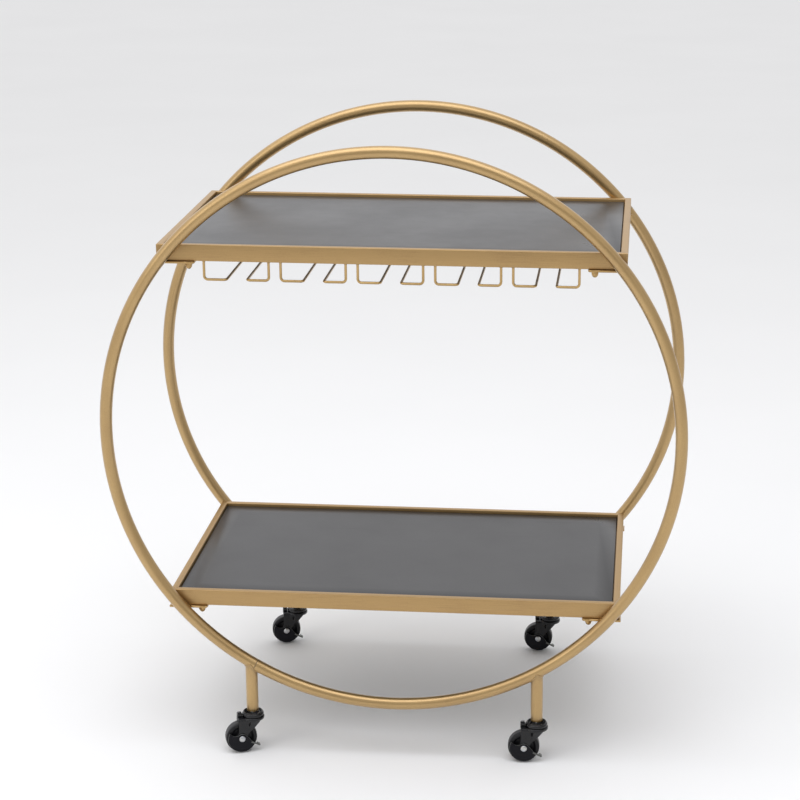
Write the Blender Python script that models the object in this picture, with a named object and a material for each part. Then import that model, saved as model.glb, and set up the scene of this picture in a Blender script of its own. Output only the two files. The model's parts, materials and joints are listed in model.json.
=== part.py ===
"""Round two-tier bar cart: two tube rings, two framed shelves, a stemware rack and four braked casters.

Metres, +Z up. The floor is Z = 0, X runs along the shelves and -Y is the front.
"""

import math

import bmesh
import bpy
from mathutils import Matrix, Vector

GAP = 0.0003  # clearance between pieces that touch

# Rings
RING_RADIUS = 0.4405  # to the middle of the tube
TUBE_RADIUS = 0.0095
RING_Y = 0.21375  # each ring's plane, in front of and behind the middle
RING_Z = 0.5278
RING_STEPS = 80
TUBE_STEPS = 10

# Shelves
SHELF_HALF_LENGTH = 0.3525
SHELF_HALF_DEPTH = RING_Y - TUBE_RADIUS - GAP
RAIL_WIDTH = 0.010
RAIL_HEIGHT = 0.025
RAIL_CHAMFER = 0.0008
LEDGE_WIDTH = 0.010
LEDGE_THICK = 0.0015
SHELF_TOPS = {"upper": 0.8215, "lower": 0.2658}
BOARD_RECESS = 0.0045
BOARD_THICK = 0.009
BOARD_SIDE_GAP = 0.0008
BOARD_CHAMFER = 0.0005

# Corner tabs, studs and cap nuts
STUD_X = 0.3045
STUD_Y = SHELF_HALF_DEPTH - RAIL_WIDTH / 2
TAB_END_RADIUS = 0.010
TAB_OUTER_X = 0.3545
TAB_THICK = 0.003
TAB_HOLE_RADIUS = 0.0033
STUD_RADIUS = 0.0029
NUT_FLATS = 0.010
NUT_HEX_HEIGHT = 0.0045
NUT_HEIGHT = 0.0100

# Stemware rack
RACK_SLOTS = 5
RACK_PITCH = 0.1163
RACK_HALF_OUTER = 0.0491
RACK_HALF_INNER = 0.0155
RACK_DROP = 0.0290
WIRE_RADIUS = 0.0020
WIRE_BEND = 0.0055

# Legs
LEG_X = 0.2262
LEG_RADIUS = 0.0095
LEG_BOTTOM = 0.0682
LEG_BORE_RADIUS = 0.0042
LEG_BORE_TOP = 0.0930

# Casters, each about its own swivel axis and turned by its own angle in degrees; the wheel trails towards -X
SWIVEL_ANGLES = {"front_left": 20, "front_right": 4, "rear_left": 11, "rear_right": 0}
TRAIL = 0.020
WHEEL_RADIUS = 0.025
AXLE_HEIGHT = WHEEL_RADIUS
RIM_HALF_WIDTH = 0.0085
HUB_HALF_WIDTH = 0.0090
HUB_RADIUS = 0.0066
WEB_HALF_WIDTH = 0.0050
RIM_INNER_RADIUS = 0.0187
TREAD_SHOULDER = 0.0025
FORK_INNER = 0.0096
FORK_OUTER = 0.0114
FORK_EYE_RADIUS = 0.0085
CROWN_BOTTOM = 0.0543
CROWN_TOP = 0.0592
CROWN_RADIUS = 0.0182
CROWN_BACK = -0.0258
FORK_BACK = -0.0247
LUG_FRONT = -0.0180
LUG_TOP = 0.0655
LUG_HALF_WIDTH = 0.0045
CAP_FLANGE_RADIUS = 0.0172
CAP_RIM_RADIUS = 0.0156
CAP_BOWL_RADIUS = 0.0112
CAP_RIM_TOP = 0.0662
SHANK_RADIUS = 0.0039
SHANK_HOLE_RADIUS = 0.0043
SHANK_TOP = 0.0920
STEM_HEAD_RADIUS = 0.0067
STEM_HEAD_BOTTOM = 0.0523
COLLAR_BOTTOM = 0.0617
COLLAR_TOP = LEG_BOTTOM - GAP
COLLAR_FLATS = 0.013
RIVET_RADIUS = 0.0025
RIVET_HOLE_RADIUS = 0.0029
RIVET_HEAD_RADIUS = 0.0053
RIVET_HEAD_HEIGHT = 0.0025
RIVET_TAIL_RADIUS = 0.0043
RIVET_TAIL_HEIGHT = 0.0018
LEVER_INNER = 0.0117
LEVER_OUTER = 0.0132
LEVER_RADIUS = 0.0225
LEVER_EYE_RADIUS = 0.0082
PEDAL_ANGLE = math.radians(-26)
PEDAL_ROOT = 0.0165
PEDAL_REACH = 0.0320
PEDAL_NECK_REACH = 0.0268
PEDAL_FAR_EDGE = -0.0055
PEDAL_CORNER = 0.0015

SIDES = {"front": -1, "rear": 1}
ENDS = {"left": -1, "right": 1}


def clear_scene():
    for obj in list(bpy.data.objects):
        bpy.data.objects.remove(obj)


def material(name, colour, roughness, metallic):
    mat = bpy.data.materials.new(name)
    mat.use_nodes = True
    shader = mat.node_tree.nodes["Principled BSDF"]
    shader.inputs["Base Color"].default_value = (*colour, 1)
    shader.inputs["Roughness"].default_value = roughness
    shader.inputs["Metallic"].default_value = metallic
    return mat


def mesh_from(bm, name):
    bmesh.ops.recalc_face_normals(bm, faces=bm.faces)
    mesh = bpy.data.meshes.new(name)
    bm.to_mesh(mesh)
    bm.free()
    return mesh


def place(name, mesh, mat, parent=None, location=(0, 0, 0), rotation=(0, 0, 0)):
    obj = bpy.data.objects.new(name, mesh)
    bpy.context.scene.collection.objects.link(obj)
    if not mesh.materials:
        mesh.materials.append(mat)
    mesh.shade_smooth()
    mesh.set_sharp_from_angle(angle=math.radians(35))
    obj.parent = parent
    obj.location = location
    obj.rotation_euler = rotation
    return obj


def empty(name, parent=None, location=(0, 0, 0), rotation=(0, 0, 0)):
    axis = bpy.data.objects.new(name, None)
    bpy.context.scene.collection.objects.link(axis)
    axis.parent = parent
    axis.location = location
    axis.rotation_euler = rotation
    return axis


def loft(name, loops, closed=False):
    """A skin through loops of equal length. Open ends are capped."""
    bm = bmesh.new()
    rings = [[bm.verts.new(point) for point in loop] for loop in loops]
    pairs = list(zip(rings, rings[1:] + rings[:1])) if closed else list(zip(rings, rings[1:]))
    count = len(rings[0])
    for low, high in pairs:
        for i in range(count):
            j = (i + 1) % count
            bm.faces.new((low[i], low[j], high[j], high[i]))
    if not closed:
        bm.faces.new(rings[0])
        bm.faces.new(rings[-1])
    return mesh_from(bm, name)


def circle(radius, steps, phase=0.0):
    """Points of a circle in the XY plane."""
    angles = [phase + math.tau * i / steps for i in range(steps)]
    return [(radius * math.cos(a), radius * math.sin(a)) for a in angles]


def turned(name, profile, steps, axis="Z", closed=True):
    """A turned solid from (radius, height) points. A closed profile leaves a bore; an open one ends in flat caps."""
    loops = []
    for radius, height in profile:
        loop = [Vector((x, y, height)) for x, y in circle(radius, steps, -math.pi / 2)]
        if axis == "Y":
            loop = [Vector((p.x, -p.z, p.y)) for p in loop]
        loops.append(loop)
    return loft(name, loops, closed)


def arc(centre, radius, start, end, steps):
    """Points of an arc in degrees, both ends included."""
    points = []
    for i in range(steps + 1):
        a = math.radians(start + (end - start) * i / steps)
        points.append((centre[0] + radius * math.cos(a), centre[1] + radius * math.sin(a)))
    return points


def plate(name, outline, thickness, holes=()):
    """A flat plate in the XY plane, from Z = 0 up, with holes through it."""
    bm = bmesh.new()
    edges = []
    for loop in (outline, *holes):
        verts = [bm.verts.new((x, y, 0)) for x, y in loop]
        edges += [bm.edges.new((a, b)) for a, b in zip(verts, verts[1:] + verts[:1])]
    bmesh.ops.triangle_fill(bm, edges=edges, use_beauty=True)
    swept = bmesh.ops.extrude_face_region(bm, geom=list(bm.faces))
    moved = [item for item in swept["geom"] if isinstance(item, bmesh.types.BMVert)]
    bmesh.ops.translate(bm, verts=moved, vec=(0, 0, thickness))
    return mesh_from(bm, name)


def fused(name, base, additions=(), cuts=()):
    """One mesh from a base mesh with others united to it or cut from it."""
    holder = bpy.data.objects.new(name, base)
    bpy.context.scene.collection.objects.link(holder)
    helpers = []
    for mesh, operation in [(m, "UNION") for m in additions] + [(m, "DIFFERENCE") for m in cuts]:
        helper = bpy.data.objects.new(f"{name}_tool", mesh)
        bpy.context.scene.collection.objects.link(helper)
        helpers.append(helper)
        modifier = holder.modifiers.new(operation.title(), "BOOLEAN")
        modifier.operation = operation
        modifier.solver = "EXACT"
        modifier.object = helper
    bpy.context.view_layer.update()
    graph = bpy.context.evaluated_depsgraph_get()
    result = bpy.data.meshes.new_from_object(holder.evaluated_get(graph))
    result.name = name
    for obj in (holder, *helpers):
        bpy.data.objects.remove(obj)
    return result


def moved_mesh(mesh, matrix):
    mesh.transform(matrix)
    if matrix.determinant() < 0:
        mesh.flip_normals()
    return mesh


def standing(mesh, y):
    """Stands a plate up: its XY plane becomes XZ, and its thickness runs from y towards +Y."""
    thickness_to_y = Matrix(((1, 0, 0, 0), (0, 0, 1, y), (0, 1, 0, 0), (0, 0, 0, 1)))
    return moved_mesh(mesh, thickness_to_y)


# Rings: round tube rolled into a circle, standing in the XZ plane


def ring_mesh():
    loops = []
    for i in range(RING_STEPS):
        turn = math.tau * i / RING_STEPS
        out = Vector((math.cos(turn), 0, math.sin(turn)))
        section = circle(TUBE_RADIUS, TUBE_STEPS, math.pi / TUBE_STEPS)
        loops.append([out * (RING_RADIUS + a) + Vector((0, b, 0)) for a, b in section])
    return loft("ring", loops, closed=True)


# Legs: short tubes coped to the underside of a ring, bored for the caster's shank


def leg_mesh(end):
    clear = TUBE_RADIUS + GAP
    steps = 16

    def cope(x, y):
        to_surface = RING_RADIUS + math.sqrt(clear**2 - y**2)
        return RING_Z - math.sqrt(to_surface**2 - (end * LEG_X + x) ** 2)

    bore = circle(LEG_BORE_RADIUS, steps)
    loops = [
        [(x, y, LEG_BORE_TOP) for x, y in bore],
        [(x, y, LEG_BOTTOM) for x, y in bore],
        [(x, y, LEG_BOTTOM) for x, y in circle(LEG_RADIUS, steps)],
    ]
    for share in (1, 0.96, 0.85, 0.65, 0.35, 0.02):
        loops.append([(x, y, cope(x, y)) for x, y in circle(LEG_RADIUS * share, steps)])
    return loft("leg", loops)


# Shelves: mitred rectangular-tube frame with an inner ledge, and a loose board


def rectangle(inset, z):
    x, y = SHELF_HALF_LENGTH - inset, SHELF_HALF_DEPTH - inset
    return [(-x, -y, z), (x, -y, z), (x, y, z), (-x, y, z)]


def frame_mesh():
    c = RAIL_CHAMFER
    ledge_top = -(BOARD_RECESS + BOARD_THICK + GAP)
    section = [
        (0, -c),
        (c, 0),
        (RAIL_WIDTH - c, 0),
        (RAIL_WIDTH, -c),
        (RAIL_WIDTH, ledge_top),
        (RAIL_WIDTH + LEDGE_WIDTH, ledge_top),
        (RAIL_WIDTH + LEDGE_WIDTH, ledge_top - LEDGE_THICK),
        (RAIL_WIDTH, ledge_top - LEDGE_THICK),
        (RAIL_WIDTH, c - RAIL_HEIGHT),
        (RAIL_WIDTH - c, -RAIL_HEIGHT),
        (c, -RAIL_HEIGHT),
        (0, c - RAIL_HEIGHT),
    ]
    return loft("shelf_frame", [rectangle(inset, z) for inset, z in section], closed=True)


def board_mesh():
    inset = RAIL_WIDTH + BOARD_SIDE_GAP
    c = BOARD_CHAMFER
    top = -BOARD_RECESS
    bottom = top - BOARD_THICK
    steps = [(inset + c, bottom), (inset, bottom + c), (inset, top - c), (inset + c, top)]
    return loft("board", [rectangle(step, z) for step, z in steps])


# Corner tabs, coped round the ring's tube, with their studs and cap nuts


def tab_mesh(tab_top):
    """The tab of the right front corner, drawn from the stud's axis; the other corners mirror it."""
    clear = TUBE_RADIUS + GAP
    levels = (tab_top - RING_Z, tab_top - TAB_THICK - RING_Z)

    def front_edge(x):
        deepest = -TAB_END_RADIUS
        for level in levels:
            off = math.hypot(STUD_X + x, level) - RING_RADIUS
            if abs(off) < clear:
                tube_back = STUD_Y - RING_Y + math.sqrt(clear**2 - off**2)
                deepest = max(deepest, tube_back)
        return deepest

    outer = TAB_OUTER_X - STUD_X
    front = []
    samples = 26
    for i in range(samples + 1):
        x = outer * i / samples
        front.append((x, front_edge(x)))
    kept = [front[0]]
    for here, after in zip(front[1:], front[2:]):
        if here[1] != kept[-1][1] or after[1] != here[1]:
            kept.append(here)
    kept.append(front[-1])
    nose = arc((0, 0), TAB_END_RADIUS, 90, 270, 10)[:-1]
    outline = [*kept, (outer, TAB_END_RADIUS), *nose]
    return plate("corner_tab", outline, TAB_THICK, [circle(TAB_HOLE_RADIUS, 12)])


def cap_nut_mesh():
    """Stud and cap nut, hanging from Z = 0 at the underside of the rail."""
    steps = 12
    tab_bottom = -(GAP + TAB_THICK)
    nut_top = tab_bottom - GAP
    dome_top = nut_top - NUT_HEX_HEIGHT
    dome_radius = NUT_FLATS / 2 * 0.94
    dome_height = NUT_HEIGHT - NUT_HEX_HEIGHT

    def hexagon(flats, z):
        points = circle(1, steps)
        reach = [flats / 2 if i % 2 else flats / 2 / math.cos(math.pi / 6) for i in range(steps)]
        return [(x * r, y * r, z) for (x, y), r in zip(points, reach)]

    def disc(radius, z):
        return [(x, y, z) for x, y in circle(radius, steps)]

    loops = [
        disc(STUD_RADIUS, -GAP),
        disc(STUD_RADIUS, nut_top),
        hexagon(NUT_FLATS, nut_top),
        hexagon(NUT_FLATS, dome_top),
    ]
    for i in range(4):
        a = math.radians(90 * i / 4 + 4)
        loops.append(disc(dome_radius * math.cos(a), dome_top - dome_height * math.sin(a)))
    return loft("cap_nut", loops)


# Stemware rack: each wire drops from the front rail, runs back and climbs to the rear rail


def wire_path(direction):
    """Corner points of a wire about its slot's middle; direction is -1 or 1."""
    outer, inner = direction * RACK_HALF_OUTER, direction * RACK_HALF_INNER
    top, low = -GAP, -RACK_DROP
    y = STUD_Y
    return [Vector(p) for p in (
        (outer, -y, top), (outer, -y, low), (inner, -y, low),
        (inner, y, low), (outer, y, low), (outer, y, top),
    )]


def rounded(points, radius, steps):
    """The same path with each corner replaced by an arc."""
    path = [points[0]]
    for before, corner, after in zip(points, points[1:], points[2:]):
        into = (before - corner).normalized()
        away = (after - corner).normalized()
        centre = corner + (into + away) * radius
        for i in range(steps + 1):
            a = math.pi / 2 * i / steps
            path.append(centre - away * radius * math.cos(a) - into * radius * math.sin(a))
    path.append(points[-1])
    return path


def wire_mesh(direction):
    path = rounded(wire_path(direction), WIRE_BEND, 3)
    loops = []
    tangents = [(b - a).normalized() for a, b in zip(path, path[1:])]
    side = Vector((0, 1, 0))
    for i, point in enumerate(path):
        before = tangents[max(i - 1, 0)]
        after = tangents[min(i, len(tangents) - 1)]
        along = (before + after).normalized()
        side = (side - along * side.dot(along)).normalized()
        other = along.cross(side)
        loops.append([point + side * a + other * b for a, b in circle(WIRE_RADIUS, 8)])
    return loft("rack_wire", loops)


# Casters


def stem_mesh():
    """Riveted head, shank and hexagonal collar in one turned and milled piece."""
    steps = 12
    chamfer = 0.0010

    def disc(radius, z):
        return [(x, y, z) for x, y in circle(radius, steps)]

    def hexagon(z):
        reach = [COLLAR_FLATS / 2 / (1 if i % 2 else math.cos(math.pi / 6)) for i in range(steps)]
        return [(x * r, y * r, z) for (x, y), r in zip(circle(1, steps), reach)]

    loops = [
        disc(STEM_HEAD_RADIUS - chamfer, STEM_HEAD_BOTTOM),
        disc(STEM_HEAD_RADIUS, STEM_HEAD_BOTTOM + chamfer),
        disc(STEM_HEAD_RADIUS, CROWN_BOTTOM - GAP),
        disc(SHANK_RADIUS, CROWN_BOTTOM - GAP),
        disc(SHANK_RADIUS, COLLAR_BOTTOM),
        hexagon(COLLAR_BOTTOM),
        hexagon(COLLAR_TOP),
        disc(SHANK_RADIUS, COLLAR_TOP),
        disc(SHANK_RADIUS, SHANK_TOP - chamfer),
        disc(SHANK_RADIUS - chamfer, SHANK_TOP),
    ]
    return loft("caster_stem", loops)


def bearing_cap_mesh():
    """Pressed dust cap over the swivel race: a drum with a rolled rim round a shallow bowl."""
    bottom = CROWN_TOP + GAP
    floor = COLLAR_BOTTOM - GAP
    roll = 0.0009
    profile = [
        (SHANK_HOLE_RADIUS, bottom),
        (CAP_FLANGE_RADIUS - roll, bottom),
        (CAP_FLANGE_RADIUS, bottom + roll),
        (CAP_FLANGE_RADIUS, CAP_RIM_TOP - 2 * roll),
        (CAP_RIM_RADIUS + roll / 2, CAP_RIM_TOP - roll / 2),
        (CAP_RIM_RADIUS, CAP_RIM_TOP),
        (CAP_RIM_RADIUS - 2 * roll, CAP_RIM_TOP - roll),
        (CAP_BOWL_RADIUS, floor),
        (SHANK_HOLE_RADIUS, floor),
    ]
    return turned("bearing_cap", profile, 24)


def fork_mesh():
    """Stamped fork: crown plate, two legs and an upright lug, about the swivel axis."""
    crown_end = 180 - math.degrees(math.asin(FORK_OUTER / CROWN_RADIUS))
    crown_outline = [
        *arc((0, 0), CROWN_RADIUS, -crown_end, crown_end, 18),
        (FORK_BACK, FORK_OUTER),
        (CROWN_BACK, LUG_HALF_WIDTH),
        (CROWN_BACK, -LUG_HALF_WIDTH),
        (FORK_BACK, -FORK_OUTER),
    ]
    crown_thick = CROWN_TOP - CROWN_BOTTOM
    shank_hole = circle(SHANK_HOLE_RADIUS, 12)
    crown = plate("crown", crown_outline, crown_thick, [shank_hole])
    crown = moved_mesh(crown, Matrix.Translation((0, 0, CROWN_BOTTOM)))

    # The leg's front edge sweeps forward from the axle eye to the crown.
    hub = (-TRAIL, AXLE_HEIGHT)
    leg_top = CROWN_TOP - crown_thick / 2
    leg_outline = [
        *arc(hub, FORK_EYE_RADIUS, 176, 392, 12),
        (-0.0080, 0.0335),
        (-0.0035, 0.0375),
        (0.0010, 0.0425),
        (0.0050, 0.0480),
        (0.0095, 0.0535),
        (0.0120, leg_top),
        (FORK_BACK, leg_top),
        (FORK_BACK, 0.0345),
    ]
    eye = [(hub[0] + x, hub[1] + y) for x, y in circle(RIVET_HOLE_RADIUS, 12)]
    leg_thick = FORK_OUTER - FORK_INNER
    legs = []
    for y in (-FORK_OUTER, FORK_INNER):
        legs.append(standing(plate("leg_plate", leg_outline, leg_thick, [eye]), y))

    corner = 0.0018
    lug_root = CROWN_BOTTOM + crown_thick / 4
    lug_back = CROWN_BACK + GAP
    lug_outline = [
        (lug_back, lug_root),
        (LUG_FRONT, lug_root),
        *arc((LUG_FRONT - corner, LUG_TOP - corner), corner, 0, 90, 3),
        *arc((lug_back + corner, LUG_TOP - corner), corner, 90, 180, 3),
    ]
    lug = standing(plate("lug", lug_outline, 2 * LUG_HALF_WIDTH - GAP), -LUG_HALF_WIDTH + GAP / 2)
    return fused("fork", crown, [*legs, lug])


def wheel_mesh():
    """Moulded wheel about its own axle, which runs along Y."""
    half = [
        (RIVET_HOLE_RADIUS, HUB_HALF_WIDTH),
        (HUB_RADIUS, HUB_HALF_WIDTH),
        (HUB_RADIUS, WEB_HALF_WIDTH),
        (RIM_INNER_RADIUS, WEB_HALF_WIDTH),
        (RIM_INNER_RADIUS, RIM_HALF_WIDTH),
        (WHEEL_RADIUS - TREAD_SHOULDER, RIM_HALF_WIDTH),
        (WHEEL_RADIUS, RIM_HALF_WIDTH - TREAD_SHOULDER),
    ]
    profile = half + [(radius, -y) for radius, y in reversed(half)]
    return turned("wheel", profile, 30, axis="Y")


def rivet_mesh():
    """Axle rivet along Y, its domed head towards -Y."""
    near, far = LEVER_OUTER + GAP, FORK_OUTER + GAP
    profile = [
        (RIVET_HEAD_RADIUS * 0.35, near + RIVET_HEAD_HEIGHT),
        (RIVET_HEAD_RADIUS * 0.75, near + RIVET_HEAD_HEIGHT * 0.76),
        (RIVET_HEAD_RADIUS, near + RIVET_HEAD_HEIGHT * 0.24),
        (RIVET_HEAD_RADIUS, near),
        (RIVET_RADIUS, near),
        (RIVET_RADIUS, -far),
        (RIVET_TAIL_RADIUS, -far),
        (RIVET_TAIL_RADIUS, -far - RIVET_TAIL_HEIGHT * 0.55),
        (RIVET_TAIL_RADIUS * 0.6, -far - RIVET_TAIL_HEIGHT),
    ]
    return turned("axle_rivet", profile, 12, axis="Y", closed=False)


def lever_mesh():
    """Brake lever about the axle: a plate over the wheel's lower half and a bent pedal."""
    pedal_side = math.degrees(PEDAL_ANGLE)
    outline = [
        *arc((0, 0), LEVER_RADIUS, pedal_side - 2, -210, 16),
        (-0.0160, 0.0074),
        (-0.0115, 0.0058),
        (-0.0080, 0.0058),
        *arc((0, 0), LEVER_EYE_RADIUS, 132, 35, 5),
        (0.0105, 0.0010),
        (0.0152, -0.0056),
    ]
    thick = LEVER_OUTER - LEVER_INNER
    face = standing(plate("lever_face", outline, thick, [circle(RIVET_HOLE_RADIUS, 12)]), -LEVER_OUTER)

    # The pedal is drawn in its own plane, with X outwards from the axle and Y across the wheel.
    inner = GAP - LEVER_INNER
    foot = [
        (PEDAL_ROOT, -LEVER_OUTER),
        (PEDAL_REACH - PEDAL_CORNER, -LEVER_OUTER),
        (PEDAL_REACH, PEDAL_CORNER - LEVER_OUTER),
        (PEDAL_REACH, PEDAL_FAR_EDGE - PEDAL_CORNER),
        (PEDAL_REACH - PEDAL_CORNER, PEDAL_FAR_EDGE),
        (PEDAL_NECK_REACH, PEDAL_FAR_EDGE),
        (PEDAL_NECK_REACH, inner),
        (PEDAL_ROOT, inner),
    ]
    tilt = Matrix.Rotation(-PEDAL_ANGLE, 4, "Y")
    pedal = moved_mesh(plate("pedal", foot, thick), tilt @ Matrix.Translation((0, 0, -thick / 2)))
    return fused("brake_lever", face, [pedal])


def build():
    clear_scene()
    gold = material("satin_gold_paint", (0.47, 0.32, 0.14), 0.38, 0.85)
    gold_wire = material("satin_gold_wire", (0.47, 0.32, 0.14), 0.35, 0.85)
    board = material("black_satin_board", (0.03, 0.03, 0.03), 0.35, 0.0)
    black = material("black_lacquer_steel", (0.015, 0.015, 0.017), 0.25, 0.2)
    plastic = material("black_nylon", (0.014, 0.014, 0.015), 0.4, 0.0)
    bright = material("bright_zinc", (0.72, 0.72, 0.72), 0.25, 1.0)
    lever_black = material("black_zinc_lever", (0.05, 0.05, 0.055), 0.35, 0.8)

    ring = ring_mesh()
    for name, side in (("front_ring", -1), ("back_ring", 1)):
        place(name, ring, gold, location=(0, side * RING_Y, RING_Z))

    frame = frame_mesh()
    shelf_board = board_mesh()
    cap_nut = cap_nut_mesh()
    for level, top in SHELF_TOPS.items():
        shelf = empty(f"{level}_shelf", location=(0, 0, top))
        place(f"{level}_shelf_frame", frame, gold, shelf)
        place(f"{level}_shelf_board", shelf_board, board, shelf)
        rail_bottom = top - RAIL_HEIGHT
        tab_top = rail_bottom - GAP
        for side_name, side in SIDES.items():
            for end_name, end in ENDS.items():
                corner = f"{level}_{side_name}_{end_name}"
                at = (end * STUD_X, side * STUD_Y, -RAIL_HEIGHT)
                mirror = Matrix.Diagonal((end, -side, 1, 1))
                tab = moved_mesh(tab_mesh(tab_top), mirror)
                under = (at[0], at[1], at[2] - GAP - TAB_THICK)
                place(f"{corner}_tab", tab, gold, shelf, under)
                place(f"{corner}_cap_nut", cap_nut, gold, shelf, at)

    wires = {"left": wire_mesh(-1), "right": wire_mesh(1)}
    rack = empty("stemware_rack", location=(0, 0, SHELF_TOPS["upper"] - RAIL_HEIGHT))
    for slot in range(RACK_SLOTS):
        x = (slot - (RACK_SLOTS - 1) / 2) * RACK_PITCH
        for hand, wire in wires.items():
            place(f"rack_wire_{slot + 1}_{hand}", wire, gold_wire, rack, (x, 0, 0))

    legs = {end_name: leg_mesh(end) for end_name, end in ENDS.items()}
    stem, cap, fork = stem_mesh(), bearing_cap_mesh(), fork_mesh()
    wheel, rivet, lever = wheel_mesh(), rivet_mesh(), lever_mesh()
    for side_name, side in SIDES.items():
        for end_name, end in ENDS.items():
            corner = f"{side_name}_{end_name}"
            foot = (end * LEG_X, side * RING_Y, 0)
            place(f"{corner}_leg", legs[end_name], gold, location=foot)
            place(f"{corner}_caster_stem", stem, bright, location=foot)
            place(f"{corner}_bearing_cap", cap, black, location=foot)
            swivel = empty(f"{corner}_swivel", location=foot, rotation=(0, 0, math.radians(SWIVEL_ANGLES[corner])))
            place(f"{corner}_fork", fork, black, swivel)
            axle = empty(f"{corner}_axle", swivel, (-TRAIL, 0, AXLE_HEIGHT))
            place(f"{corner}_wheel", wheel, plastic, axle)
            place(f"{corner}_axle_rivet", rivet, bright, axle)
            place(f"{corner}_brake_lever", lever, lever_black, axle)


build()
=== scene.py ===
"""Round two-tier bar cart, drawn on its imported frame. Metres, +Z up, the cart's front towards -Y."""

import json
import math

import bmesh
import bpy
from mathutils import Matrix, Vector


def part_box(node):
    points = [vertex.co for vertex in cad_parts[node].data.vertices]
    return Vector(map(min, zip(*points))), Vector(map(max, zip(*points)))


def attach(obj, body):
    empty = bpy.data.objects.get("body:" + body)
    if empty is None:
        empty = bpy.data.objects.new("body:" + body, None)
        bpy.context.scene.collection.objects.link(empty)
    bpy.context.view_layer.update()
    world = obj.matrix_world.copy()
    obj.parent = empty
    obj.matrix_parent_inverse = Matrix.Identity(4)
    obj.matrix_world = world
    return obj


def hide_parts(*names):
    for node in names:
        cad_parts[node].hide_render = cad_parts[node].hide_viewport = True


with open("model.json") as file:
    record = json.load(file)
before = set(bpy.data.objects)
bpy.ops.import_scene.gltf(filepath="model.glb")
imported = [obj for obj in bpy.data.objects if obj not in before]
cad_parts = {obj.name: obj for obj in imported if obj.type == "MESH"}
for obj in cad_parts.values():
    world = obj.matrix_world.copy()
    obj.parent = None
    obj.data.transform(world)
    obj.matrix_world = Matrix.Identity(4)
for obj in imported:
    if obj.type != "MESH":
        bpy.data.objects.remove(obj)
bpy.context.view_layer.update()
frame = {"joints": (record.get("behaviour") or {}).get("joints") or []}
joints = {joint["name"]: joint for joint in frame["joints"]}

# ---------------------------------------------------------------------------
# Camera: a 93 mm lens a metre above the rings' middle and three metres off the
# front ring, looking slightly down, with the cart left of the lens's axis.
# ---------------------------------------------------------------------------

ring_low, ring_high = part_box("front_ring")
ring_middle = (ring_low + ring_high) / 2
camera_data = bpy.data.cameras.new("studio_camera")
camera_data.sensor_width = 36
camera_data.lens = 93.29
camera_data.shift_x, camera_data.shift_y = -0.1, -0.0125
camera = bpy.data.objects.new("studio_camera", camera_data)
bpy.context.scene.collection.objects.link(camera)
bpy.context.scene.camera = camera
heading, tilt, roll = math.radians(4.615), math.radians(16.878), math.radians(0.133)
back = Vector((math.sin(heading) * math.cos(tilt), -math.cos(heading) * math.cos(tilt), math.sin(tilt)))
level = Vector((math.cos(heading), math.sin(heading), 0))
right = level * math.cos(roll) + back.cross(level) * math.sin(roll)
facing = Matrix((right, back.cross(right), back)).transposed().to_4x4()
camera.matrix_world = Matrix.Translation(ring_middle + Vector((0.3755, -2.9723, 0.9862))) @ facing

# ---------------------------------------------------------------------------
# Studio: a plain pale floor that runs off to the horizon, a large soft lamp
# overhead, two soft lamps beside the camera and a pale room around them.
# ---------------------------------------------------------------------------


def linear(hex_colour):
    """An sRGB hex colour as linear RGBA."""
    channels = [int(hex_colour[i : i + 2], 16) / 255 for i in (1, 3, 5)]
    return (*[c / 12.92 if c <= 0.04045 else ((c + 0.055) / 1.055) ** 2.4 for c in channels], 1)


def node(tree, kind, inputs=None, **settings):
    """One shader node with its settings, and its inputs either set or linked."""
    made = tree.nodes.new(kind)
    for name, value in settings.items():
        setattr(made, name, value)
    for name, value in (inputs or {}).items():
        if isinstance(value, bpy.types.NodeSocket):
            tree.links.new(value, made.inputs[name])
        else:
            made.inputs[name].default_value = value
    return made


def new_material(name):
    """An empty material, its node tree and its Principled shader."""
    material = bpy.data.materials.new(name)
    material.use_nodes = True
    return material, material.node_tree, material.node_tree.nodes["Principled BSDF"]


paper, tree, shader = new_material("matt white studio paper")
place = node(tree, "ShaderNodeTexCoord")
grain = node(tree, "ShaderNodeTexNoise", {"Vector": place.outputs["Object"], "Scale": 1.4, "Detail": 3})
shade = node(tree, "ShaderNodeValToRGB", {"Fac": grain.outputs["Fac"]})
shade.color_ramp.elements[0].color = linear("#F1F1F0")
shade.color_ramp.elements[1].color = linear("#F6F6F5")
tree.links.new(shade.outputs["Color"], shader.inputs["Base Color"])
shader.inputs["Roughness"].default_value = 0.9
shader.inputs["Specular IOR Level"].default_value = 0.2

bm = bmesh.new()
bmesh.ops.create_circle(bm, cap_ends=True, radius=60, segments=96)
floor_mesh = bpy.data.meshes.new("studio_floor")
bm.to_mesh(floor_mesh)
bm.free()
floor_mesh.materials.append(paper)
floor = bpy.data.objects.new("studio_floor", floor_mesh)
bpy.context.scene.collection.objects.link(floor)

room = bpy.data.worlds.new("pale studio room")
room.use_nodes = True
tree = room.node_tree
# The room is brightest overhead and behind the cart, dimmer on the right and behind the camera.
towards = node(tree, "ShaderNodeTexCoord")
axes = node(tree, "ShaderNodeSeparateXYZ", {"Vector": towards.outputs["Generated"]})
depth_light = node(
    tree,
    "ShaderNodeMapRange",
    {"Value": axes.outputs["Y"], "From Min": -1, "From Max": 1, "To Min": 0.42, "To Max": 1.05},
)
side_light = node(
    tree,
    "ShaderNodeMath",
    {0: axes.outputs["X"], 1: -0.2, 2: depth_light.outputs[0]},
    operation="MULTIPLY_ADD",
)
room_light = node(
    tree,
    "ShaderNodeMath",
    {0: axes.outputs["Z"], 1: 0.3, 2: side_light.outputs[0]},
    operation="MULTIPLY_ADD",
)
tree.links.new(room_light.outputs[0], tree.nodes["Background"].inputs["Strength"])
tree.nodes["Background"].inputs["Color"].default_value = linear("#F4F4F6")
bpy.context.scene.world = room
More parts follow.
